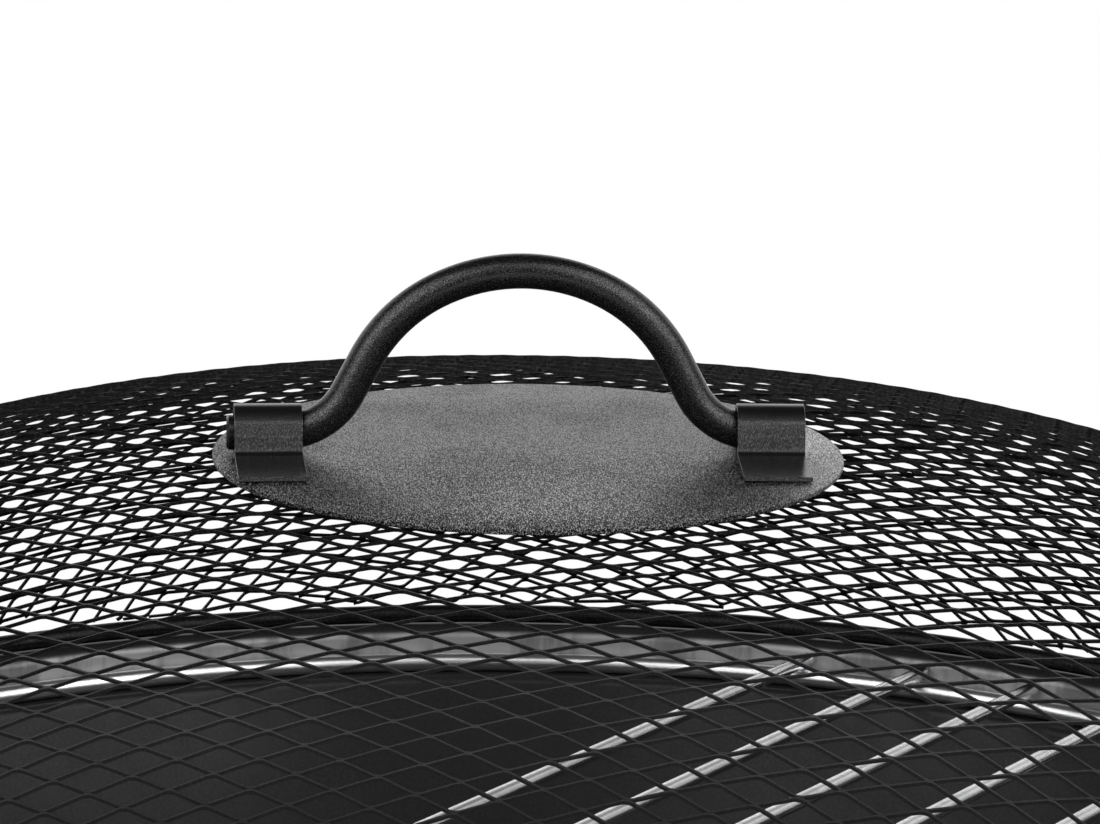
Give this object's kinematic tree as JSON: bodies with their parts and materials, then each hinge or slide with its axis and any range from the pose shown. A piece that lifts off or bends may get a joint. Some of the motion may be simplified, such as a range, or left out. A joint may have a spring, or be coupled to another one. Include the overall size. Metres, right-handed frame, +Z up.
{
  "type": "fire pit",
  "caption": "Round steel fire pit on legs, with a domed mesh spark screen that lifts off by an arched folding handle and a bright rod grate in the bowl.",
  "frame": {"origin": "on the ground, under the middle of the bowl", "axes": "+Z up, X along the screen's handle, the legs stand on the diagonals between X and Y"},
  "size_m": [0.5842, 0.5842, 0.5223],
  "materials": {
    "bowl_coat": "smooth satin black heat-proof paint",
    "stand_coat": "fine-grained satin black powder coat",
    "screen_coat": "satin black paint on raised expanded metal",
    "cap_coat": "fine-grained satin black powder coat",
    "handle_coat": "fine-grained satin black powder coat",
    "bright_chrome": "bright plated",
    "zinc_steel": "zinc plated",
    "foot_rubber": "matt black"
  },
  "bodies": {
    "stand": {"bowl": "bowl_coat", "brace_ring": "stand_coat", "leg_1": "stand_coat", "leg_2": "stand_coat", "leg_3": "stand_coat", "leg_4": "stand_coat", "foot_cap_1": "foot_rubber", "foot_cap_2": "foot_rubber", "foot_cap_3": "foot_rubber", "foot_cap_4": "foot_rubber", "leg_bolt_upper_1": "zinc_steel", "leg_bolt_upper_2": "zinc_steel", "leg_bolt_upper_3": "zinc_steel", "leg_bolt_upper_4": "zinc_steel", "leg_bolt_lower_1": "zinc_steel", "leg_bolt_lower_2": "zinc_steel", "leg_bolt_lower_3": "zinc_steel", "leg_bolt_lower_4": "zinc_steel", "leg_nut_upper_1": "zinc_steel", "leg_nut_upper_2": "zinc_steel", "leg_nut_upper_3": "zinc_steel", "leg_nut_upper_4": "zinc_steel", "leg_nut_lower_1": "zinc_steel", "leg_nut_lower_2": "zinc_steel", "leg_nut_lower_3": "zinc_steel", "leg_nut_lower_4": "zinc_steel"},
    "grate": {"grate_ring": "bright_chrome", "grate_rod_1": "bright_chrome", "grate_rod_2": "bright_chrome", "grate_rod_3": "bright_chrome", "grate_rod_4": "bright_chrome", "grate_rod_5": "bright_chrome", "grate_rod_6": "bright_chrome"},
    "lid": {"screen_ring": "screen_coat", "screen_mesh": "screen_coat", "cap_disc": "cap_coat", "handle_clip_left": "cap_coat", "handle_clip_right": "cap_coat"},
    "handle": {"lid_handle": "handle_coat"}
  },
  "joints": [
    {"name": "lid_lift", "type": "slide", "parent": "stand", "child": "lid", "axis": [0, 0, 1], "range_m": [0, 0.25]},
    {"name": "grate_lift", "type": "slide", "parent": "stand", "child": "grate", "axis": [0, 0, 1], "range_m": [0, 0.125]},
    {"name": "handle_fold", "type": "hinge", "parent": "lid", "child": "handle", "pos_m": [-0.002, 0, 0.4819], "axis": [1, 0, 0], "range_deg": [-90, 90]}
  ],
  "couplings": [
    {"joint": "grate_lift", "follows": "lid_lift", "ratio": 0.5}
  ]
}
